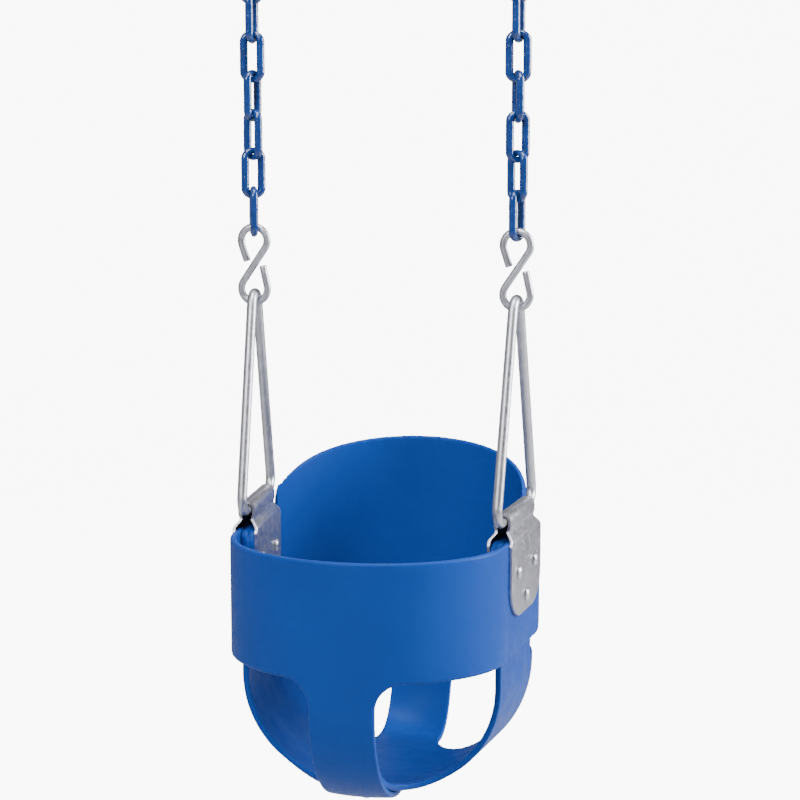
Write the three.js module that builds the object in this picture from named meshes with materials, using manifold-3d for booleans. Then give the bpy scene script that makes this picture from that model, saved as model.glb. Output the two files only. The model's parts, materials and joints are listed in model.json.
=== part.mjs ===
// Toddler bucket swing: a bucket of soft moulded sheet, clamped at each side by a folded steel bracket.
// Each bracket hangs from a wire triangle, an S-hook, a length of plastic-coated chain and a top S-hook.
// Millimetres, +Z up, the child faces -Y, left and right are as seen from the front.
// The origin is midway between the two places where the top S-hooks bear on the beam's fittings.

import * as THREE from 'three';
import { mergeVertices } from 'three/addons/utils/BufferGeometryUtils.js';
import Module from 'manifold-3d';

const wasm = await Module();
wasm.setup();

// ---------------------------------------------------------------- driving dimensions
const GAP = 0.3;                 // running gap between touching pieces

const SHEET = 5.6;               // thickness of every soft sheet
const LAYER = SHEET + GAP;       // one sheet and its gap in the clamped stack

const BAND_SIDE = 124.9;         // outer half width of the front band where its arms begin
const BAND_DEPTH = 102;          // how far the band's round front stands ahead of its arms
const BAND_HEIGHT = 105;
const BAND_END = 57;             // rear ends of the band, behind the brackets
const ARM_START = -66;           // where the round front turns into the straight arms
const TOE = 0.079;               // sideways spread of the arms for each unit rearwards
const CORNER = 14;               // rounded corners of the free ends

const BOWL_TOP = -132;           // below this height the walls curve under the seat
const BOWL_RADIUS = 100.9;       // of that curve, on the outermost layer
const BOWL_REAR = 54.9;          // its reach at the rear, where it turns in more tightly
const SEAT_FALL = 0.05;          // the seat drops by this much for each unit rearwards

const BACK_CENTRE = 38;          // centre of the round back, in plan
const BACK_REACH = 123.4;        // rear of the back from that centre, as if on the outermost layer
const ARCH_HEIGHT = 54.8;        // the back's arch above the rim
const ARCH_ANGLE = 80;           // where the arch comes down to the rim, in degrees from the rear
const WING_END = -64;            // front ends of the back's wings, inside the brackets

const TONGUE_HALF = 29;          // half width of the crotch tongue
const TONGUE_END = -22;          // its rear end, under the seat
const TAB_HALF = 27;             // the seat's tab inside the tongue
const TAB_END = -140;
const STRAP_HALF = 30;           // half width of the strap between seat and back
const SLING_FRONT = -66;         // front and rear edges of the side straps
const SLING_REAR = 38;
const SLING_FILLET = 60;         // where the side straps sweep into the tab
const REAR_HOLE_SIDE = 89;       // outer edge of the rear holes
const REAR_FILLETS = [9, 50];    // of their outer and inner corners, under the seat
const STRAP_FILLET = 24;         // where the tongue meets the band, and the back strap the back

const HANG_X = 120.5;            // from the middle to each chain
const HANG_Y = -13;
const PLATE = 2.5;               // bracket steel
const CLAMP_HALF = 50;           // half width of the bracket's legs
const FOLD_HALF = 41.5;          // half width of its fold
const CLAMP_BOTTOM = -70;
const SHOULDER = 3;              // middle of the slanted shoulders between legs and fold
const SHOULDER_RISE = 10;
const NECK_Z = 8;                // the fold is pinched in at this height, between the sheets and the bar
const NECK_PINCH = 1.6;
const BAR_Z = 17.4;              // centre of the triangle's base bar above the rim
const BAR_PLAY = 0.8;            // radial play of the bar in the fold

const ROD = 4.5;                 // radius of the triangle's rod
const TRIANGLE_HALF = 62;        // half base of the triangle, to its sharp corners
const TRIANGLE_HEIGHT = 224.5;   // from the bar's centre up to the sharp apex
const TRIANGLE_BEND = 12;
const HOOK_WIRE = 3.3;           // radius of the S-hook's wire
const HOOK_BEND = 12.2;          // radius of its bends, to the wire's centre
const HOOK_BEND_Z = 21.8;        // the bends' centres above and below the hook's middle
const HOOK_FREE = [[18, 16], [12, 19]];   // extra bend in degrees and straight end, upper and lower

const LINKS = 7;                 // links in each chain
const PITCH = 34.4;              // from link to link
const LINK_LEG = 3.5;            // radius of a link's coated legs
const LINK_CROWN = 2.85;         // radius of its crowns
const LINK_THROAT = 4.1;         // half the clear width inside a link
const TWIST = {                  // turn of each link about the chain, in degrees, top link first
  left: [90, 0, 90, -17, 56, -52, 21],
  right: [90, -6, 98, 25, -52, 55, -18],
};

const RIVET_HEAD = 6;            // radius of the domed heads
const RIVET_DOME = 3.2;
const RIVET_SHANK = 2.5;
const SIDE_RIVETS = [[-27.5, -30], [27.5, -30], [0, -56]];   // along the bracket, height
const SEAT_RIVET_TURN = 85;      // first seat rivet, where the tongue has turned this far under the seat
const SEAT_RIVET_Y = -60.5;      // second seat rivet, on the flat

const OVER = 5;                  // how far a cutting shape runs past what it cuts
const FAR = 200;                 // beyond the bucket on every side
const DEEP = 300;                // and below it

const BLUE = new THREE.Color(0x1b55a8);
const CHAIN_BLUE = new THREE.Color(0x16479a);
const ZINC = new THREE.Color(0xaeb0b8);

// ---------------------------------------------------------------- heights of the hanging pieces
const hookHalf = HOOK_BEND_Z + HOOK_BEND + HOOK_WIRE;
const linkInner = PITCH + GAP;
const apexHalf = Math.atan(TRIANGLE_HALF / TRIANGLE_HEIGHT);
const apexZ = BAR_Z + TRIANGLE_HEIGHT - TRIANGLE_BEND * (1 / Math.sin(apexHalf) - 1);
const lowerHookZ = apexZ - ROD - GAP - 2 * HOOK_WIRE + hookHalf;
const lastLinkZ = lowerHookZ + hookHalf - 2 * HOOK_WIRE - GAP + linkInner / 2;
const firstLinkZ = lastLinkZ + (LINKS - 1) * PITCH;
const topHookZ = firstLinkZ + linkInner / 2 - GAP - 2 * HOOK_WIRE + hookHalf;
const hangingZ = topHookZ + hookHalf - 2 * HOOK_WIRE;

// ---------------------------------------------------------------- helpers
const radians = THREE.MathUtils.degToRad;
const lerp = THREE.MathUtils.lerp;
const steps = (from, to, count) => Array.from({ length: count + 1 }, (_, i) => lerp(from, to, i / count));
const X = new THREE.Vector3(1, 0, 0);
const Y = new THREE.Vector3(0, 1, 0);
const Z = new THREE.Vector3(0, 0, 1);

function meshOf(positions, index) {
  const geometry = new THREE.BufferGeometry();
  geometry.setAttribute('position', new THREE.Float32BufferAttribute(positions, 3));
  geometry.setIndex(index);
  return geometry;
}

function solidOf(geometry) {
  const bare = geometry.clone();
  bare.deleteAttribute('normal');
  bare.deleteAttribute('uv');
  const merged = mergeVertices(bare, 1e-4);
  const vertProperties = new Float32Array(merged.attributes.position.array);
  const triVerts = new Uint32Array(merged.index.array);
  return new wasm.Manifold(new wasm.Mesh({ numProp: 3, vertProperties, triVerts }));
}

function geometryOf(solid) {
  const { vertProperties, triVerts } = solid.getMesh();
  return meshOf([...vertProperties], [...triVerts]);
}

const join = (geometries) => geometries.map(solidOf).reduce((sum, solid) => sum.add(solid));
const cut = (solid, geometries) =>
  geometries.map(solidOf).reduce((rest, tool) => rest.subtract(tool), solid);

// Points round a polygon whose corners are given as [x, y, radius].
function rounded(corners, step = 15) {
  return corners.flatMap(([x, y, radius], i) => {
    const corner = new THREE.Vector2(x, y);
    if (!radius) return [corner];
    const before = new THREE.Vector2(...corners.at(i - 1)).sub(corner).normalize();
    const after = new THREE.Vector2(...corners[(i + 1) % corners.length]).sub(corner).normalize();
    const half = Math.acos(before.dot(after)) / 2;
    const sweep = -Math.sign(before.cross(after)) * (Math.PI - 2 * half);
    const centre = before.clone().add(after).setLength(radius / Math.sin(half)).add(corner);
    const start = before.multiplyScalar(radius / Math.tan(half)).add(corner).sub(centre);
    const count = Math.max(2, Math.round(Math.abs(sweep) / radians(step)));
    const hub = new THREE.Vector2();
    return steps(0, sweep, count).map((turn) => start.clone().rotateAround(hub, turn).add(centre));
  });
}

// A straight-sided block: an outline in the plane across an axis, drawn out along that axis.
function block(points, axis, from, to) {
  const shape = new THREE.Shape(points);
  const geometry = new THREE.ExtrudeGeometry(shape, { depth: to - from, bevelEnabled: false });
  geometry.translate(0, 0, axis === 'y' ? -to : from);
  if (axis === 'x') geometry.applyMatrix4(new THREE.Matrix4().makeBasis(Y, Z, X));
  if (axis === 'y') geometry.rotateX(Math.PI / 2);
  return geometry;
}

const bothHalves = (half) => [...half, ...half.map(([x, y, radius]) => [-x, y, radius]).reverse()];

// A round bar along points in a plane, with a radius at each point.
function bar(points, radii, normal, closed = false, sides = 8) {
  const count = points.length;
  const positions = [];
  const index = [];
  points.forEach((point, i) => {
    const before = closed ? points[(i + count - 1) % count] : points[Math.max(i - 1, 0)];
    const after = closed ? points[(i + 1) % count] : points[Math.min(i + 1, count - 1)];
    const side = new THREE.Vector3().subVectors(after, before).normalize().cross(normal);
    for (let k = 0; k < sides; k++) {
      const angle = (2 * Math.PI * k) / sides;
      const spot = point.clone().addScaledVector(side, radii[i] * Math.cos(angle));
      positions.push(...spot.addScaledVector(normal, radii[i] * Math.sin(angle)));
    }
  });
  for (let i = 0; i < (closed ? count : count - 1); i++) {
    for (let k = 0; k < sides; k++) {
      const [a, b] = [i * sides + k, i * sides + ((k + 1) % sides)];
      const [c, d] = [a, b].map((corner) => (corner + sides) % (count * sides));
      index.push(a, c, b, b, c, d);
    }
  }
  for (let k = 1; !closed && k < sides - 1; k++) {
    const last = (count - 1) * sides;
    index.push(0, k, k + 1, last, last + k + 1, last + k);
  }
  return meshOf(positions, index);
}

// ---------------------------------------------------------------- the bucket
const SEAT_TURNS = steps(0, 90, 9);

// One level of a bucket wall: turn is 0 for the upright wall, growing to 90 degrees under the seat.
function level(offset, rearOffset, turn, top) {
  const drawn = 1 - Math.cos(radians(turn));
  const inset = offset + (BOWL_RADIUS - offset) * drawn;
  const half = BAND_SIDE - inset;
  const rearHalf = half + TOE * (BACK_CENTRE - ARM_START);
  const front = steps(-90, 90, 28).map(radians).map((angle) =>
    [half * Math.sin(angle), ARM_START - (BAND_DEPTH - inset) * Math.cos(angle)]);
  const arm = steps(ARM_START, BACK_CENTRE, 4).slice(1, -1).map((y) => [half + TOE * (y - ARM_START), y]);
  const reach = BACK_REACH - rearOffset - (BOWL_REAR - rearOffset) * drawn;
  const rear = steps(90, -90, 28).map(radians).map((angle) =>
    [rearHalf * Math.sin(angle), BACK_CENTRE + reach * Math.cos(angle)]);
  const otherArm = arm.map(([x, y]) => [-x, y]).reverse();
  return [...front, ...arm, ...rear, ...otherArm].map(([x, y]) => levelPoint(x, y, offset, turn, top));
}

function levelPoint(x, y, offset, turn, top) {
  const down = Math.sin(radians(turn));
  const fall = SEAT_FALL * Math.max(0, y - ARM_START) * down;
  return new THREE.Vector3(x, y, top ?? BOWL_TOP - (BOWL_RADIUS - offset) * down - fall);
}

// Everything inside a bucket wall, up to a flat top.
function filled(offset, rearOffset, top) {
  const levels = [level(offset, rearOffset, 0, top)];
  SEAT_TURNS.forEach((turn) => levels.push(level(offset, rearOffset, turn)));
  const count = levels[0].length;
  const positions = levels.flat().flatMap((point) => point.toArray());
  positions.push(0, 0, top, ...levelPoint(0, 0, offset, 90));
  const topCentre = levels.length * count;
  const index = [];
  for (let k = 0; k < count; k++) {
    const next = (k + 1) % count;
    const lowest = (levels.length - 1) * count;
    index.push(topCentre, k, next, topCentre + 1, lowest + next, lowest + k);
    for (let i = 0; i + 1 < levels.length; i++) {
      const [a, b, c, d] = [i * count + k, i * count + next, (i + 1) * count + k, (i + 1) * count + next];
      index.push(a, c, b, b, c, d);
    }
  }
  return meshOf(positions, index);
}

function wall(offset, rearOffset, top) {
  const hollow = filled(offset + SHEET, rearOffset + SHEET, top + OVER);
  return cut(solidOf(filled(offset, rearOffset, top)), [hollow]);
}

// A wall's lower edge in elevation: a strap, any holes with filleted top corners, and the wall beyond.
function lowerEdge(strapHalf, holeSide) {
  const bottom = -BAND_HEIGHT - STRAP_FILLET - GAP;
  const half = [[strapHalf, bottom, 0], [strapHalf, -BAND_HEIGHT, STRAP_FILLET]];
  if (holeSide) {
    half.push([holeSide, -BAND_HEIGHT, STRAP_FILLET], [holeSide, bottom, 0], [FAR, bottom, 0]);
  } else {
    half.push([FAR, -BAND_HEIGHT, 0]);
  }
  half.push([FAR, OVER - BAND_HEIGHT, 0]);
  return rounded(bothHalves(half), 10);
}

function frontBand() {
  const arms = rounded([[-FAR, -BAND_HEIGHT, 0], [BAND_END, -BAND_HEIGHT, CORNER],
    [BAND_END, 0, CORNER], [-FAR, 0, 0]]);
  const tongue = rounded(bothHalves([[TONGUE_HALF, -FAR, 0], [TONGUE_HALF, TONGUE_END, CORNER]]));
  const kept = join([
    block(arms, 'x', -FAR, FAR),
    block(lowerEdge(TONGUE_HALF), 'y', -FAR, ARM_START),
    block(tongue, 'z', -DEEP, OVER - BAND_HEIGHT - STRAP_FILLET),
  ]);
  return wall(0, 0, OVER).intersect(kept);
}

function seatSling() {
  const cross = rounded(bothHalves([
    [TAB_HALF, TAB_END, CORNER], [TAB_HALF, SLING_FRONT, SLING_FILLET], [FAR, SLING_FRONT, 0],
    [FAR, FAR, 0], [REAR_HOLE_SIDE, FAR, 0], [REAR_HOLE_SIDE, SLING_REAR, REAR_FILLETS[0]],
    [STRAP_HALF, SLING_REAR, REAR_FILLETS[1]], [STRAP_HALF, FAR, 0],
  ]), 10);
  const sides = rounded([[SLING_FRONT, BOWL_TOP - OVER, 0], [SLING_REAR, BOWL_TOP - OVER, 0],
    [SLING_REAR, 0, 6], [SLING_FRONT, 0, 6]]);
  const kept = join([
    block(cross, 'z', -DEEP, 2 - BAND_HEIGHT - STRAP_FILLET),
    block(sides, 'x', -FAR, FAR),
  ]);
  return wall(LAYER, LAYER, OVER).intersect(kept);
}

function backPanel() {
  const wings = rounded([[WING_END, -BAND_HEIGHT, CORNER], [FAR, -BAND_HEIGHT, 0], [FAR, 0, 0],
    [WING_END, 0, CORNER]]);
  const half = BAND_SIDE - 2 * LAYER + TOE * (BACK_CENTRE - ARM_START);
  const arch = steps(90, -90, 36).map(radians).map((angle) => {
    const around = radians(ARCH_ANGLE) * Math.sin(angle);
    return new THREE.Vector2(half * Math.sin(around), ARCH_HEIGHT * Math.cos(angle));
  });
  const foot = [arch.at(-1), arch[0]].map(({ x }) => new THREE.Vector2(x, -OVER));
  const kept = join([
    block(wings, 'x', -FAR, FAR),
    block([...foot, ...arch], 'y', BACK_CENTRE, FAR),
    block(lowerEdge(STRAP_HALF, REAR_HOLE_SIDE), 'y', SLING_REAR, FAR),
  ]);
  return wall(2 * LAYER, LAYER, ARCH_HEIGHT + OVER).intersect(kept);
}

// ---------------------------------------------------------------- clamps
// Placed in the plane of one side's bracket: x outwards, y along the bracket.
function atClamp(geometry, side) {
  return geometry.rotateZ(-side * Math.atan(TOE)).translate(side * HANG_X, HANG_Y, 0);
}

const across = (y, z, spans) => spans.map((x) => new THREE.Vector3(x, y, z));

function sideRivet(side, [y, z]) {
  const seat = 1.5 * LAYER - GAP / 2 + GAP + PLATE + GAP;
  return atClamp(rivet(across(y, z, rivetSpans(seat)), Y), side);
}

function rivetSpans(seat) {
  const spans = [0, 0, 0.4, 0.8, 1].map((rise) => seat + rise * RIVET_DOME);
  return [...spans.map((span) => -span).reverse(), ...spans];
}

function rivet(points, normal) {
  const half = [RIVET_SHANK, RIVET_HEAD, 0.93 * RIVET_HEAD, 0.68 * RIVET_HEAD, 0.3 * RIVET_HEAD];
  return bar(points, [...half.toReversed(), ...half], normal, false, 10);
}

const hole = (ends, normal) => bar(ends, [RIVET_SHANK + GAP, RIVET_SHANK + GAP], normal, false, 10);

function sideHoles(side) {
  const reach = 2 * LAYER + PLATE;
  return SIDE_RIVETS.map(([y, z]) => atClamp(hole(across(y, z, [-reach, reach]), Y), side));
}

// The two seat rivets: a place on the tongue's outer face, and the way outwards from it.
function seatRivetLines() {
  const turn = radians(SEAT_RIVET_TURN);
  const curved = new THREE.Vector3(0, -Math.cos(turn), -Math.sin(turn));
  const bowlCentre = new THREE.Vector3(0, ARM_START + BOWL_RADIUS - BAND_DEPTH, BOWL_TOP);
  const facet = radians(SEAT_TURNS[1] / 2);
  const fall = SEAT_FALL * (SEAT_RIVET_Y - ARM_START);
  return [
    [bowlCentre.addScaledVector(curved, BOWL_RADIUS * Math.cos(facet)), curved],
    [new THREE.Vector3(0, SEAT_RIVET_Y, BOWL_TOP - BOWL_RADIUS - fall),
      new THREE.Vector3(0, -SEAT_FALL, -1).normalize()],
  ];
}

const along = ([face, outwards], spans) =>
  spans.map((span) => face.clone().addScaledVector(outwards, span));

function seatRivet(line) {
  const middle = SHEET + GAP / 2;
  return rivet(along(line, rivetSpans(middle + GAP).map((span) => span - middle)), X);
}

const seatHoles = () => seatRivetLines().map((line) => hole(along(line, [-3 * LAYER, LAYER]), X));

// Half of the bracket's section, from the leg up over the bar: the leg's x, and the bend's radius.
function foldHalf(x, bend, sign) {
  return [[x, SHOULDER - 1.5, 3], [bend - NECK_PINCH, NECK_Z, 3], [bend, BAR_Z - ROD, 6],
    [bend, BAR_Z + bend, bend - 0.01]].map(([across, z, radius]) => [sign * across, z, radius]);
}

function bracket(side) {
  const inner = 1.5 * LAYER + GAP / 2;
  const outer = inner + PLATE;
  const fold = ROD + BAR_PLAY;
  const foot = CLAMP_BOTTOM - OVER;
  const section = rounded([
    [outer, foot, 0], ...foldHalf(outer, fold + PLATE, 1),
    ...foldHalf(outer, fold + PLATE, -1).reverse(), [-outer, foot, 0],
    [-inner, foot, 0], ...foldHalf(inner, fold, -1),
    ...foldHalf(inner, fold, 1).reverse(), [inner, foot, 0],
  ]);
  const top = BAR_Z + fold + PLATE + OVER;
  const face = rounded(bothHalves([
    [CLAMP_HALF, CLAMP_BOTTOM, 30], [CLAMP_HALF, SHOULDER - SHOULDER_RISE / 2, 8],
    [FOLD_HALF, SHOULDER + SHOULDER_RISE / 2, 8], [FOLD_HALF, top, 0],
  ]));
  const folded = solidOf(block(section, 'y', -CLAMP_HALF - OVER, CLAMP_HALF + OVER));
  const sheet = folded.intersect(solidOf(block(face, 'x', -outer - OVER, outer + OVER)));
  return cut(solidOf(atClamp(geometryOf(sheet), side)), sideHoles(side));
}

// ---------------------------------------------------------------- wire pieces
function triangle(side) {
  const path = rounded([[-TRIANGLE_HALF, 0, TRIANGLE_BEND], [TRIANGLE_HALF, 0, TRIANGLE_BEND],
    [0, TRIANGLE_HEIGHT, TRIANGLE_BEND]], 20);
  const points = path.map(({ x, y }) => new THREE.Vector3(0, x, y));
  const geometry = bar(points, points.map(() => ROD), X, true, 10);
  return atClamp(geometry.translate(0, 0, BAR_Z), side);
}

function hookPath() {
  const lean = Math.asin(HOOK_BEND / HOOK_BEND_Z);
  return [1, -1].flatMap((sign, i) => {
    const [extra, straight] = HOOK_FREE[i];
    const turns = steps(Math.PI + radians(extra), -lean, 11);
    const bend = turns.map((turn) =>
      new THREE.Vector2(HOOK_BEND * Math.cos(turn), HOOK_BEND_Z + HOOK_BEND * Math.sin(turn)));
    const way = new THREE.Vector2(-Math.sin(turns[0]), Math.cos(turns[0]));
    const end = bend[0].clone().addScaledVector(way, straight);
    const loop = [end, ...bend].map((point) => point.multiplyScalar(sign));
    return sign > 0 ? loop : loop.reverse();
  });
}

function hook(side, height, turn) {
  const points = hookPath().map(({ x, y }) => new THREE.Vector3(x, 0, y));
  const geometry = bar(points, points.map(() => HOOK_WIRE), Y);
  return geometry.rotateZ(radians(turn)).translate(side * HANG_X, HANG_Y, height);
}

function link(side, number) {
  const centre = linkInner / 2 - LINK_THROAT;
  const crown = steps(0, 180, 6).map((turn) => {
    const radius = lerp(LINK_LEG, LINK_CROWN, Math.sin(radians(turn)) ** 2);
    const reach = LINK_THROAT + radius;
    const [across, up] = [Math.cos(radians(turn)), Math.sin(radians(turn))];
    return { radius, point: new THREE.Vector3(0, reach * across, centre + reach * up) };
  });
  const foot = crown.map(({ radius, point }) => ({ radius, point: point.clone().negate() }));
  const rings = [...crown, ...foot];
  const geometry = bar(rings.map((ring) => ring.point), rings.map((ring) => ring.radius), X, true);
  const turn = radians(TWIST[side < 0 ? 'left' : 'right'][number - 1]);
  return geometry.rotateZ(turn).translate(side * HANG_X, HANG_Y, firstLinkZ - (number - 1) * PITCH);
}

// ---------------------------------------------------------------- the swing
const swing = new THREE.Group();
swing.name = 'bucket_swing';

function add(name, geometry, color, roughness, metalness = 0) {
  const bare = geometry.index ? geometry : mergeVertices(geometry);
  bare.translate(0, -HANG_Y, -hangingZ).computeVertexNormals();
  const mesh = new THREE.Mesh(bare, new THREE.MeshStandardMaterial({ color, roughness, metalness }));
  mesh.name = name;
  swing.add(mesh);
}

const allHoles = () => [...sideHoles(-1), ...sideHoles(1), ...seatHoles()];
add('front_band', geometryOf(cut(frontBand(), allHoles())), BLUE, 0.5);
add('seat_shell', geometryOf(cut(seatSling().add(backPanel()), allHoles())), BLUE, 0.5);
seatRivetLines().forEach((line, i) => add(`seat_rivet_${i + 1}`, seatRivet(line), ZINC, 0.4, 1));

for (const [name, side] of [['left', -1], ['right', 1]]) {
  add(`${name}_bracket`, geometryOf(bracket(side)), ZINC, 0.4, 1);
  SIDE_RIVETS.forEach((place, i) => add(`${name}_rivet_${i + 1}`, sideRivet(side, place), ZINC, 0.4, 1));
  add(`${name}_triangle`, triangle(side), ZINC, 0.35, 1);
  add(`${name}_s_hook`, hook(side, lowerHookZ, 0), ZINC, 0.35, 1);
  for (let number = 1; number <= LINKS; number++) {
    add(`${name}_link_${number}`, link(side, number), CHAIN_BLUE, 0.3);
  }
  add(`${name}_top_hook`, hook(side, topHookZ, 90), ZINC, 0.35, 1);
}

export default swing;
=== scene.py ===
"""Toddler bucket swing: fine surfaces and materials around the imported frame. Metres, +Z up, front is -Y."""
import json
import math

import bmesh
import bpy
from mathutils import Matrix, Vector, noise


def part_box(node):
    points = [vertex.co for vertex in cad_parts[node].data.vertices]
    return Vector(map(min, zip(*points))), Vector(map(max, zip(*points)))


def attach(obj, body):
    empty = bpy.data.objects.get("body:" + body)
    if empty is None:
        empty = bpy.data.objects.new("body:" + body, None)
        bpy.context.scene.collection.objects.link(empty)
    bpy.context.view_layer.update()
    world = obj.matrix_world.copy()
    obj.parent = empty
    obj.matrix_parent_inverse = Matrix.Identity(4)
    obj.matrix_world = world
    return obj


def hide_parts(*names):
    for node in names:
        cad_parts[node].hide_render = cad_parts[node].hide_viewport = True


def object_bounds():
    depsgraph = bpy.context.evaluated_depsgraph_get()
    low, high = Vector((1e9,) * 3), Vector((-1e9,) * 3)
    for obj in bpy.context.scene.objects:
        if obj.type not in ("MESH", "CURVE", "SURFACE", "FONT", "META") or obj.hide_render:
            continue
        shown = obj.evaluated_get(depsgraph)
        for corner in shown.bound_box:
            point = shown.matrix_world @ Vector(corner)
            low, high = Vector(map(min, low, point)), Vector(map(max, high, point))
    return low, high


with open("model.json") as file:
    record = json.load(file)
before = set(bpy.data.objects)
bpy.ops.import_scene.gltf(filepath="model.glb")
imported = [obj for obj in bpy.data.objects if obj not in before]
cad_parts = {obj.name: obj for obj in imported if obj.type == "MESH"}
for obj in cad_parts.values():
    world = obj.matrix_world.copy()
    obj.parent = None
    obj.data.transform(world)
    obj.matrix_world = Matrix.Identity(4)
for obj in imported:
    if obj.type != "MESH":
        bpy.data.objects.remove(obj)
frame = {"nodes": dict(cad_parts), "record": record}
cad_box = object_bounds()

MM = 0.001
BODIES = {node: body for body, nodes in frame["record"]["behaviour"]["bodies"].items() for node in nodes}
RIM_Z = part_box("front_band")[1][2]                # height of the band's top edge
HANG_X = sum(corner[0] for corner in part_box("right_s_hook")) / 2      # from the middle to each chain

# The bucket's sheet, in millimetres, with y = 0 on the line through both chains and z = 0 on the rim.
GAP, SHEET = 0.3, 5.6
LAYER = SHEET + GAP                               # one sheet and its gap in the clamped stack
BAND_SIDE, BAND_DEPTH, BAND_HEIGHT, BAND_END = 124.9, 102, 105, 70
ARM_START, TOE, CORNER = -53, 0.079, 14           # the straight arms spread by TOE rearwards
BOWL_TOP, BOWL_RADIUS, BOWL_REAR = -132, 100.9, 54.9
SEAT_FALL = 0.05                                  # the seat drops by this for each unit rearwards
BACK_CENTRE, BACK_REACH, ARCH_HEIGHT, ARCH_ANGLE, WING_END = 51, 123.4, 54.8, 80, -51
TONGUE_HALF, TONGUE_END, TAB_HALF, TAB_END = 29, -9, 27, -127
STRAP_HALF, STRAP_FILLET = 30, 24
SLING_FRONT, SLING_REAR, SLING_FILLET, SLING_CORNER = -53, 51, 60, 6
REAR_HOLE_SIDE, REAR_FILLETS = 89, (9, 50)
FAR, DEEP = 220, 300                              # beyond the bucket on every side, and below it
OVER = 5                                          # how far a cutting shape runs past what it cuts
CELL = 1.35                # size of the remeshed sheet's cells


# ---------------------------------------------------------------- mesh helpers
def add_object(name, vertices, faces):
    mesh = bpy.data.meshes.new(name)
    mesh.from_pydata([tuple(v) for v in vertices], [], faces)
    mesh.validate()
    obj = bpy.data.objects.new(name, mesh)
    bpy.context.scene.collection.objects.link(obj)
    shade_smooth(obj)
    return obj


def shade_smooth(obj):
    obj.data.polygons.foreach_set("use_smooth", [True] * len(obj.data.polygons))


def place(point):
    """A point given in millimetres about the rim, in the metres of the shared frame."""
    return Vector((point[0] * MM, point[1] * MM, RIM_Z + point[2] * MM))


def spread(start, end, count):
    return [start + (end - start) * i / count for i in range(count + 1)]


def rounded(corners, step=5):
    """Points round a polygon whose corners are (x, y, radius)."""
    points = []
    for i, (x, y, radius) in enumerate(corners):
        corner = Vector((x, y))
        if not radius:
            points.append(corner)
            continue
        before = (Vector(corners[i - 1][:2]) - corner).normalized()
        after = (Vector(corners[(i + 1) % len(corners)][:2]) - corner).normalized()
        half = math.acos(before.dot(after)) / 2
        sweep = -math.copysign(math.pi - 2 * half, before.x * after.y - before.y * after.x)
        centre = corner + (before + after).normalized() * (radius / math.sin(half))
        start = corner + before * (radius / math.tan(half)) - centre
        count = max(3, round(abs(math.degrees(sweep)) / step))
        for turn in spread(0, sweep, count):
            points.append(centre + Matrix.Rotation(turn, 2) @ start)
    return points


def block(points, axis, low, high):
    """An outline in the plane across an axis, drawn out along it, in millimetres about the rim."""
    turn = {"x": lambda p, a: (a, p[0], p[1]),
            "y": lambda p, a: (p[0], a, p[1]),
            "z": lambda p, a: (p[0], p[1], a)}
    count = len(points)
    vertices = [place(turn[axis](p, a)) for a in (low, high) for p in points]
    faces = [list(range(count))[::-1], list(range(count, 2 * count))]
    faces += [[k, (k + 1) % count, count + (k + 1) % count, count + k] for k in range(count)]
    obj = add_object("block", vertices, faces)
    editable = bmesh.new()
    editable.from_mesh(obj.data)
    bmesh.ops.triangulate(editable, faces=editable.faces, ngon_method="EAR_CLIP")
    bmesh.ops.recalc_face_normals(editable, faces=editable.faces)
    editable.to_mesh(obj.data)
    editable.free()
    return obj


def apply_modifiers(obj):
    graph = bpy.context.evaluated_depsgraph_get()
    mesh = bpy.data.meshes.new_from_object(obj.evaluated_get(graph))
    obj.modifiers.clear()
    old, obj.data = obj.data, mesh
    bpy.data.meshes.remove(old)
    mesh.name = obj.name


def combine(obj, others, operation):
    """Joins, cuts or intersects obj with each of the others, which are used up."""
    for other in others:
        step = obj.modifiers.new("combine", "BOOLEAN")
        step.operation, step.object, step.solver = operation, other, "MANIFOLD"
        apply_modifiers(obj)
        bpy.data.objects.remove(other)
    return obj


def bar(name, points, radii, normal, sides, closed=False):
    """A round bar along points in the plane square to normal, in metres, with a radius at each point."""
    count = len(points)
    vertices, faces = [], []
    for i, point in enumerate(points):
        before = points[i - 1] if closed or i else point
        after = points[(i + 1) % count] if closed or i + 1 < count else point
        side = (after - before).normalized().cross(normal)
        for k in range(sides):
            angle = 2 * math.pi * k / sides
            vertices.append(point + (side * math.cos(angle) + normal * math.sin(angle)) * radii[i])
    for i in range(count if closed else count - 1):
        for k in range(sides):
            a, b = i * sides + k, i * sides + (k + 1) % sides
            c, d = (a + sides) % (count * sides), (b + sides) % (count * sides)
            faces.append([a, c, d, b])
    if not closed:
        faces += [list(range(sides)), list(range((count - 1) * sides, count * sides))[::-1]]
    return add_object(name, vertices, faces)


# ---------------------------------------------------------------- the bucket's sheets
def level(offset, rear_offset, turn, top=None):
    """One level of a wall: turn is 0 for the upright wall, growing to 90 degrees under the seat."""
    drawn, down = 1 - math.cos(math.radians(turn)), math.sin(math.radians(turn))
    inset = offset + (BOWL_RADIUS - offset) * drawn
    half, depth = BAND_SIDE - inset, BAND_DEPTH - inset
    rear_half = half + TOE * (BACK_CENTRE - ARM_START)
    reach = BACK_REACH - rear_offset - (BOWL_REAR - rear_offset) * drawn
    angles = [math.radians(a) for a in spread(-90, 90, 90)]
    plan = [(half * math.sin(a), ARM_START - depth * math.cos(a)) for a in angles]
    arm = [(half + TOE * (y - ARM_START), y) for y in spread(ARM_START, BACK_CENTRE, 16)[1:-1]]
    plan += arm + [(rear_half * math.sin(a), BACK_CENTRE + reach * math.cos(a)) for a in reversed(angles)]
    plan += [(-x, y) for x, y in reversed(arm)]
    if top is not None:
        return [(x, y, top) for x, y in plan]
    z = BOWL_TOP - (BOWL_RADIUS - offset) * down
    return [(x, y, z - SEAT_FALL * max(0, y - ARM_START) * down) for x, y in plan]


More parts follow.
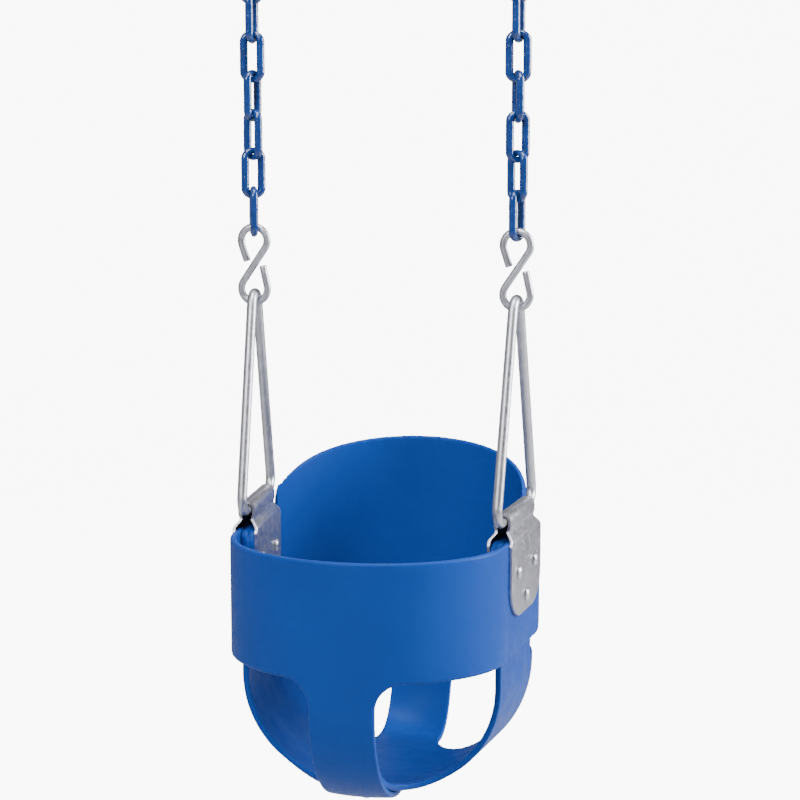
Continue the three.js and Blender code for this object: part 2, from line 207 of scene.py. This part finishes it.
def filled(offset, rear_offset, top):
    """Everything inside a bucket wall, up to a flat top."""
    levels = [level(offset, rear_offset, 0, top)]
    levels += [level(offset, rear_offset, turn) for turn in spread(0, 90, 36)]
    count = len(levels[0])
    vertices = [place(p) for ring in levels for p in ring]
    lowest = BOWL_TOP - BOWL_RADIUS + offset + SEAT_FALL * ARM_START
    vertices += [place((0, 0, top)), place((0, 0, lowest))]
    centre, last = len(levels) * count, (len(levels) - 1) * count
    faces = []
    for k in range(count):
        following = (k + 1) % count
        faces += [[centre, k, following], [centre + 1, last + following, last + k]]
        faces += [[ring + k, ring + count + k, ring + count + following, ring + following]
                  for ring in range(0, last, count)]
    return add_object("filled", vertices, faces)


def wall(name, offset, rear_offset, top):
    obj = combine(filled(offset, rear_offset, top),
                  [filled(offset + SHEET, rear_offset + SHEET, top + OVER)], "DIFFERENCE")
    obj.name = name
    return obj


def both_halves(half):
    """The rounded outline whose right half is given."""
    return rounded(half + [(-x, y, radius) for x, y, radius in reversed(half)])


def lower_edge(strap_half, hole_side=None):
    """A wall's lower edge in elevation: a strap, any holes with filleted top corners, the wall beyond."""
    bottom = -BAND_HEIGHT - STRAP_FILLET - 1
    half = [(strap_half, bottom, 0), (strap_half, -BAND_HEIGHT, STRAP_FILLET)]
    if hole_side:
        half += [(hole_side, -BAND_HEIGHT, STRAP_FILLET), (hole_side, bottom, 0), (FAR, bottom, 0)]
    else:
        half += [(FAR, -BAND_HEIGHT, 0)]
    return both_halves(half + [(FAR, OVER - BAND_HEIGHT, 0)])


def keep(obj, blocks):
    """What lies inside any of the blocks."""
    return combine(obj, [combine(blocks[0], blocks[1:], "UNION")], "INTERSECT")


def front_band():
    arms = rounded([(-FAR, -BAND_HEIGHT, 0), (BAND_END, -BAND_HEIGHT, CORNER),
                    (BAND_END, 0, CORNER), (-FAR, 0, 0)])
    tongue = both_halves([(TONGUE_HALF, -FAR, 0), (TONGUE_HALF, TONGUE_END, CORNER)])
    return keep(wall("band_sheet", 0, 0, OVER), [
        block(arms, "x", -FAR, FAR),
        block(lower_edge(TONGUE_HALF), "y", -FAR, ARM_START),
        block(tongue, "z", -DEEP, 2 - BAND_HEIGHT)])


def seat_shell():
    """The sling of side straps, seat and tab, and the back with its wings and strap, in one sheet."""
    cross = both_halves([
        (TAB_HALF, TAB_END, CORNER), (TAB_HALF, SLING_FRONT, SLING_FILLET), (FAR, SLING_FRONT, 0),
        (FAR, FAR, 0), (REAR_HOLE_SIDE, FAR, 0), (REAR_HOLE_SIDE, SLING_REAR, REAR_FILLETS[0]),
        (STRAP_HALF, SLING_REAR, REAR_FILLETS[1]), (STRAP_HALF, FAR, 0)])
    sides = rounded([(SLING_FRONT, BOWL_TOP - OVER, 0), (SLING_REAR, BOWL_TOP - OVER, 0),
                     (SLING_REAR, 0, SLING_CORNER), (SLING_FRONT, 0, SLING_CORNER)])
    sling = keep(wall("seat_sheet", LAYER, LAYER, OVER), [
        block(cross, "z", -DEEP, 2 - BAND_HEIGHT - STRAP_FILLET),
        block(sides, "x", -FAR, FAR)])
    wings = rounded([(WING_END, -BAND_HEIGHT, CORNER), (FAR, -BAND_HEIGHT, 0),
                     (FAR, 0, 0), (WING_END, 0, CORNER)])
    half = BAND_SIDE - 2 * LAYER + TOE * (BACK_CENTRE - ARM_START)
    arch = []
    for angle in map(math.radians, spread(90, -90, 72)):
        around = math.radians(ARCH_ANGLE) * math.sin(angle)
        arch.append(Vector((half * math.sin(around), ARCH_HEIGHT * math.cos(angle))))
    foot = [Vector((arch[-1].x, -OVER)), Vector((arch[0].x, -OVER))]
    back = keep(wall("back", 2 * LAYER, LAYER, ARCH_HEIGHT + OVER), [
        block(wings, "x", -FAR, FAR),
        block(foot + arch, "y", BACK_CENTRE, FAR),
        block(lower_edge(STRAP_HALF, REAR_HOLE_SIDE), "y", SLING_REAR, FAR)])
    return combine(sling, [back], "UNION")


def moulded(obj):
    """Evens the mesh and rounds its edges as a moulded sheet's are."""
    remesh = obj.modifiers.new("remesh", "REMESH")
    remesh.mode, remesh.voxel_size = "VOXEL", CELL * MM
    smooth = obj.modifiers.new("smooth", "SMOOTH")
    smooth.factor, smooth.iterations = 0.5, 5
    apply_modifiers(obj)
    shade_smooth(obj)
    return obj


# ---------------------------------------------------------------- wire, chain and steel
HOOK_WIRE, HOOK_BEND, HOOK_BEND_Z = 3.3, 12.2, 21.8
HOOK_FREE = ((18, 16), (12, 19))                  # extra bend in degrees and straight end, upper and lower
HOOK_END_STEPS = (0, 0.15, 0.7, 4, 8, 12)         # rings along the straight end, back from its tip
HOOK_END_CUTS = (0.7, 0.3)                        # the first two rings are smaller by this
LINK_INNER, LINK_THROAT, LINK_LEG, LINK_CROWN = 34.7, 4.1, 3.7, 2.85
TWIST = {"left": (90, 0, 90, -17, 56, -52, 21), "right": (90, -6, 98, 25, -52, 55, -18)}
COAT_SWELL, COAT_SINK, COAT_GRAIN = 0.12, 0.35, 190       # the dipped coat runs a little thick and thin
ROD, BAR_Z, TRIANGLE_HALF, TRIANGLE_HEIGHT, TRIANGLE_BEND = 4.5, 17.4, 62, 224.5, 12
PLATE, PLATE_EDGE, BAR_PLAY = 2.5, 0.5, 0.8
CLAMP_HALF, FOLD_HALF, CLAMP_BOTTOM, CLAMP_CORNER = 50, 41.5, -70, 30
SHOULDER, SHOULDER_RISE, SHOULDER_BEND = 3, 10, 8
LEG_TOP, NECK_Z, NECK_PINCH, NECK_BEND, FOLD_BEND = 1.5, 8, 1.6, 3, 6
RIVET_HEAD, RIVET_DOME, RIVET_SHANK, RIVET_EDGE, RIVET_TIP = 6, 3.2, 2.5, 0.25, 0.3
SIDE_RIVETS = ((-27.5, -30), (27.5, -30), (0, -56))       # along the bracket, height
SEAT_RIVET_TURN, SEAT_RIVET_Y = 85, -47.5
X_AXIS, Y_AXIS, Z_AXIS = Vector((1, 0, 0)), Vector((0, 1, 0)), Vector((0, 0, 1))


def side_of(node):
    return -1 if node.startswith("left") else 1


def move(obj, matrix):
    obj.data.transform(matrix)
    return obj


def on_chain(obj, node, degrees):
    """Turned about the vertical and moved to the middle of the frame's node."""
    low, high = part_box(node)
    centre = Vector((side_of(node) * HANG_X, 0, (low[2] + high[2]) / 2))
    return move(obj, Matrix.Translation(centre) @ Matrix.Rotation(math.radians(degrees), 4, "Z"))


def at_clamp(obj, node):
    """Into the plane of the node's bracket: x outwards, y along the bracket."""
    side = side_of(node)
    turn = Matrix.Rotation(-side * math.atan(TOE), 4, "Z")
    return move(obj, Matrix.Translation((side * HANG_X, 0, 0)) @ turn)


def hook(node):
    lean = math.asin(HOOK_BEND / HOOK_BEND_Z)
    points = []
    for sign, (extra, straight) in zip((1, -1), HOOK_FREE):
        turns = spread(math.pi + math.radians(extra), -lean, 40)
        bend = [Vector((math.cos(t), 0, math.sin(t))) * HOOK_BEND + Z_AXIS * HOOK_BEND_Z for t in turns]
        way = Vector((-math.sin(turns[0]), 0, math.cos(turns[0])))
        leg = [bend[0] + way * (straight - drop) for drop in HOOK_END_STEPS]
        loop = [p * sign * MM for p in leg + bend]
        points += loop if sign > 0 else loop[::-1]
    radii = [HOOK_WIRE * MM] * len(points)
    for i, cut in enumerate(HOOK_END_CUTS):
        radii[i] -= cut * MM
        radii[-1 - i] -= cut * MM
    return on_chain(bar(node + "_wire", points, radii, Y_AXIS, 28), node, 90 if "top" in node else 0)


def link(node):
    side, number = node.split("_link_")
    centre = LINK_INNER / 2 - LINK_THROAT
    points, radii = [], []
    for sign in (1, -1):
        for turn in map(math.radians, spread(0, 180, 28)):
            radius = LINK_LEG + (LINK_CROWN - LINK_LEG) * math.sin(turn) ** 2
            reach = LINK_THROAT + radius
            across, up = reach * math.cos(turn), centre + reach * math.sin(turn)
            points.append(Vector((0, sign * across, sign * up)) * MM)
            radii.append(radius * MM)
        for up in spread(centre, -centre, 12)[1:-1]:
            points.append(Vector((0, -sign * (LINK_THROAT + LINK_LEG), sign * up)) * MM)
            radii.append(LINK_LEG * MM)
    obj = bar(node + "_coat", points, radii, X_AXIS, 28, closed=True)
    on_chain(obj, node, TWIST[side][int(number) - 1])
    for vertex in obj.data.vertices:
        swell = COAT_SWELL * (noise.noise(vertex.co * COAT_GRAIN) - COAT_SINK)
        vertex.co += vertex.normal * swell * MM
    return obj


def triangle(node):
    path = rounded([(-TRIANGLE_HALF, 0, TRIANGLE_BEND), (TRIANGLE_HALF, 0, TRIANGLE_BEND),
                    (0, TRIANGLE_HEIGHT, TRIANGLE_BEND)])
    points = [place((0, y, BAR_Z + z)) for y, z in path]
    return at_clamp(bar(node + "_rod", points, [ROD * MM] * len(points), X_AXIS, 32, closed=True), node)


def fold_half(x, bend, sign):
    """Half of the bracket's section, from the leg up over the bar: the leg's x, and the bend's radius."""
    corners = [(x, LEG_TOP, NECK_BEND), (bend - NECK_PINCH, NECK_Z, NECK_BEND),
               (bend, BAR_Z - ROD, FOLD_BEND), (bend, BAR_Z + bend, bend - 0.01)]
    return [(sign * across, z, radius) for across, z, radius in corners]


def bracket(node):
    inner = 1.5 * LAYER + GAP / 2
    outer, fold, foot = inner + PLATE, ROD + BAR_PLAY, CLAMP_BOTTOM - OVER
    section = rounded([
        (outer, foot, 0), *fold_half(outer, fold + PLATE, 1),
        *fold_half(outer, fold + PLATE, -1)[::-1], (-outer, foot, 0),
        (-inner, foot, 0), *fold_half(inner, fold, -1),
        *fold_half(inner, fold, 1)[::-1], (inner, foot, 0)])
    face = both_halves([
        (CLAMP_HALF, CLAMP_BOTTOM, CLAMP_CORNER), (CLAMP_HALF, SHOULDER - SHOULDER_RISE / 2, SHOULDER_BEND),
        (FOLD_HALF, SHOULDER + SHOULDER_RISE / 2, SHOULDER_BEND), (FOLD_HALF, FAR, 0)])
    reach = CLAMP_HALF + OVER
    obj = combine(block(section, "y", -reach, reach), [block(face, "x", -reach, reach)], "INTERSECT")
    obj.name = node + "_plate"
    bevel = obj.modifiers.new("bevel", "BEVEL")
    bevel.width, bevel.segments, bevel.limit_method = PLATE_EDGE * MM, 3, "ANGLE"
    bevel.angle_limit = math.radians(40)
    apply_modifiers(obj)
    shade_smooth(obj)
    obj.data.set_sharp_from_angle(angle=math.radians(30))
    return at_clamp(obj, node)


def rivet_profile(seat):
    """Distances along a rivet's axis, and its radius there."""
    head = [(seat, RIVET_SHANK), (seat, RIVET_HEAD - RIVET_EDGE), (seat + RIVET_EDGE, RIVET_HEAD)]
    for turn in map(math.radians, spread(0, 90, 12)[1:-1]):
        rise = RIVET_EDGE + (RIVET_DOME - RIVET_EDGE) * math.sin(turn)
        head.append((seat + rise, RIVET_HEAD * math.cos(turn) ** 0.8))
    head.append((seat + RIVET_DOME, RIVET_TIP))
    return [(-x, radius) for x, radius in head[::-1]] + head


def rivet(node, profile, points, normal):
    return bar(node + "_head", points, [radius * MM for _, radius in profile], normal, 36)


def side_rivet(node):
    y, z = SIDE_RIVETS[int(node[-1]) - 1]
    profile = rivet_profile(1.5 * LAYER + 1.5 * GAP + PLATE)
    return at_clamp(rivet(node, profile, [place((x, y, z)) for x, _ in profile], Y_AXIS), node)


def seat_rivet(node):
    """The first is where the tongue has almost turned level, the second on the flat of the seat."""
    if node.endswith("1"):
        turn = math.radians(SEAT_RIVET_TURN)
        outwards = Vector((0, -math.cos(turn), -math.sin(turn)))
        face = Vector((0, ARM_START + BOWL_RADIUS - BAND_DEPTH, BOWL_TOP)) + outwards * BOWL_RADIUS
    else:
        outwards = Vector((0, -SEAT_FALL, -1)).normalized()
        face = Vector((0, SEAT_RIVET_Y, BOWL_TOP - BOWL_RADIUS - SEAT_FALL * (SEAT_RIVET_Y - ARM_START)))
    middle = SHEET + GAP / 2                      # halfway through the tongue and the seat
    profile = rivet_profile(middle + GAP)
    return rivet(node, profile, [place(face + outwards * (x - middle)) for x, _ in profile], X_AXIS)


# ---------------------------------------------------------------- materials
def new_material(name):
    material = bpy.data.materials.new(name)
    material.use_nodes = True
    return material, material.node_tree, material.node_tree.nodes["Principled BSDF"]


def noise_node(tree, scale, detail):
    coordinates = tree.nodes.new("ShaderNodeTexCoord")
    texture = tree.nodes.new("ShaderNodeTexNoise")
    texture.inputs["Scale"].default_value = scale
    texture.inputs["Detail"].default_value = detail
    tree.links.new(coordinates.outputs["Object"], texture.inputs["Vector"])
    return texture.outputs["Fac"]


def ramp(tree, source, low, high):
    """A colour from low to high over the middle of the source's range."""
    node = tree.nodes.new("ShaderNodeValToRGB")
    for element, color, position in zip(node.color_ramp.elements, (low, high), (0.3, 0.7)):
        element.color, element.position = (*color, 1), position
    tree.links.new(source, node.inputs["Fac"])
    return node.outputs["Color"]


def span(tree, source, low, high, start=0.3, end=0.7):
    """A number from low to high as the source goes from start to end."""
    node = tree.nodes.new("ShaderNodeMapRange")
    for key, value in (("From Min", start), ("From Max", end), ("To Min", low), ("To Max", high)):
        node.inputs[key].default_value = value
    tree.links.new(source, node.inputs["Value"])
    return node.outputs["Result"]


def bump(tree, shader, layers):
    """Each layer is a height and its depth in metres."""
    below = None
    for source, depth in layers:
        node = tree.nodes.new("ShaderNodeBump")
        node.inputs["Distance"].default_value = depth
        tree.links.new(source, node.inputs["Height"])
        if below:
            tree.links.new(below, node.inputs["Normal"])
        below = node.outputs["Normal"]
    tree.links.new(below, shader.inputs["Normal"])


def sheet_material():
    """Satin moulded sheet: a fine grain over slow swells, and a bluish gloss."""
    material, tree, shader = new_material("moulded_sheet")
    cloud = noise_node(tree, 14, 2)
    colour = ramp(tree, cloud, (0.0085, 0.049, 0.275), (0.0095, 0.055, 0.300))
    tree.links.new(colour, shader.inputs["Base Color"])
    tree.links.new(span(tree, noise_node(tree, 60, 4), 0.36, 0.46), shader.inputs["Roughness"])
    shader.inputs["Specular IOR Level"].default_value = 0.14
    shader.inputs["Specular Tint"].default_value = (0.35, 0.65, 1.0, 1)
    bump(tree, shader, [(noise_node(tree, 2600, 2), 0.00003), (noise_node(tree, 35, 2), 0.00025)])
    return material


def coat_material():
    """Glossy dipped plastic, a little uneven."""
    material, tree, shader = new_material("dipped_coat")
    cloud = noise_node(tree, 120, 3)
    colour = ramp(tree, cloud, (0.0014, 0.026, 0.150), (0.0024, 0.044, 0.235))
    tree.links.new(colour, shader.inputs["Base Color"])
    tree.links.new(span(tree, noise_node(tree, 300, 3), 0.10, 0.20), shader.inputs["Roughness"])
    shader.inputs["Coat Weight"].default_value = 0.8
    shader.inputs["Coat Roughness"].default_value = 0.05
    bump(tree, shader, [(noise_node(tree, 420, 1), 0.0005)])
    return material


def zinc_material(name, tone):
    """Bright zinc plating, clouded and finely pitted."""
    material, tree, shader = new_material(name)
    shader.inputs["Metallic"].default_value = 1.0
    shaded = [0.82 * channel for channel in tone]
    tree.links.new(ramp(tree, noise_node(tree, 90, 5), shaded, tone), shader.inputs["Base Color"])
    tree.links.new(span(tree, noise_node(tree, 240, 4), 0.30, 0.48), shader.inputs["Roughness"])
    bump(tree, shader, [(noise_node(tree, 1400, 3), 0.00004), (noise_node(tree, 160, 3), 0.00010)])
    return material


# ---------------------------------------------------------------- camera, light and floor
CAMERA_PLACE = (0.46068, -1.84366, RIM_Z + 0.40848)
CAMERA_DIP, CAMERA_TURN = 8.777, 13.588           # degrees down, and round from the front
camera = bpy.data.objects.new("camera", bpy.data.cameras.new("camera"))
bpy.context.scene.collection.objects.link(camera)
bpy.context.scene.camera = camera
camera.data.lens, camera.data.sensor_width = 96.2, 36
camera.location = CAMERA_PLACE
camera.rotation_euler = (math.radians(90 - CAMERA_DIP), 0, math.radians(CAMERA_TURN))

FLOOR_DROP = 0.45                                 # from the bucket's lowest point
FLOOR_Z = cad_box[0][2] - FLOOR_DROP
FLOOR_RADIUS, COVE, WALL_HEIGHT = 4, 1.5, 9       # where the floor starts to sweep up, and its bend
PAPER_GLOW = 9.0
AIM = Vector((0, 0, RIM_Z))


def backdrop():
    """A pale floor that sweeps up into a wall all round."""
    profile = [(0.001, 0), (2.5, 0)]
    profile += [(FLOOR_RADIUS + COVE * math.sin(a), COVE - COVE * math.cos(a))
                for a in map(math.radians, spread(0, 90, 16))]
    profile += [(FLOOR_RADIUS + COVE, WALL_HEIGHT)]
    count = 96
    around = [Vector((math.cos(a), math.sin(a), 0)) for a in spread(0, 2 * math.pi, count)[:-1]]
    vertices = [way * radius + Z_AXIS * (FLOOR_Z + z) for radius, z in profile for way in around]
    faces = []
    for start in range(0, (len(profile) - 1) * count, count):
        faces += [[start + k, start + (k + 1) % count, start + count + (k + 1) % count, start + count + k]
                  for k in range(count)]
    return add_object("backdrop", vertices, faces)


def paper_material():
    """Pale paper that looks lit from behind, and lights nothing itself."""
    material, tree, shader = new_material("paper")
    shader.inputs["Base Color"].default_value = (0.52, 0.52, 0.53, 1)
    shader.inputs["Roughness"].default_value = 0.9
    shader.inputs["Emission Color"].default_value = (1, 1, 1, 1)
    ray = tree.nodes.new("ShaderNodeLightPath")
    glow = span(tree, ray.outputs["Is Camera Ray"], 0.0, PAPER_GLOW, 0.0, 1.0)
    tree.links.new(glow, shader.inputs["Emission Strength"])
    return material


def area_light(name, location, size, power):
    light = bpy.data.objects.new(name, bpy.data.lights.new(name, "AREA"))
    light.data.shape, light.data.size, light.data.size_y = "RECTANGLE", *size
    light.data.energy = power
    light.location = location
    light.rotation_euler = (AIM - Vector(location)).to_track_quat("-Z", "Y").to_euler()
    bpy.context.scene.collection.objects.link(light)


floor = backdrop()
floor.data.materials.append(paper_material())

world = bpy.data.worlds.new("studio")
bpy.context.scene.world = world
world.use_nodes = True
world.node_tree.nodes["Background"].inputs["Color"].default_value = (1, 1, 1, 1)
world.node_tree.nodes["Background"].inputs["Strength"].default_value = 0.5
area_light("key", (-0.9, -2.5, 1.1), (1.2, 1.2), 54)
area_light("spark", (-0.5, -2.4, 1.4), (0.2, 0.2), 12)        # small, for crisp highlights on the chain
area_light("side", (2.2, 0.5, 0.25), (1.2, 1.6), 130)
area_light("top", (0.2, -0.7, 1.9), (1.4, 1.4), 74)

# ---------------------------------------------------------------- the pieces
sheet, coat = sheet_material(), coat_material()
wire = zinc_material("zinc_wire", (0.60, 0.61, 0.66))
plate = zinc_material("zinc_plate", (0.53, 0.53, 0.59))


def finish_piece(obj, material, node):
    obj.data.materials.clear()
    obj.data.materials.append(material)
    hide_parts(node)
    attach(obj, BODIES[node])


finish_piece(moulded(front_band()), sheet, "front_band")
finish_piece(moulded(seat_shell()), sheet, "seat_shell")
MAKERS = (("_link_", link, coat, "chain_coating"), ("hook", hook, wire, "zinc_steel"),
          ("triangle", triangle, wire, "zinc_steel"), ("bracket", bracket, plate, "zinc_steel"),
          ("seat_rivet", seat_rivet, wire, "zinc_steel"), ("_rivet_", side_rivet, wire, "zinc_steel"))
for node in list(frame["nodes"]):
    for word, maker, material, slot in MAKERS:
        if word in node:
            finish_piece(maker(node), material, node)
            break
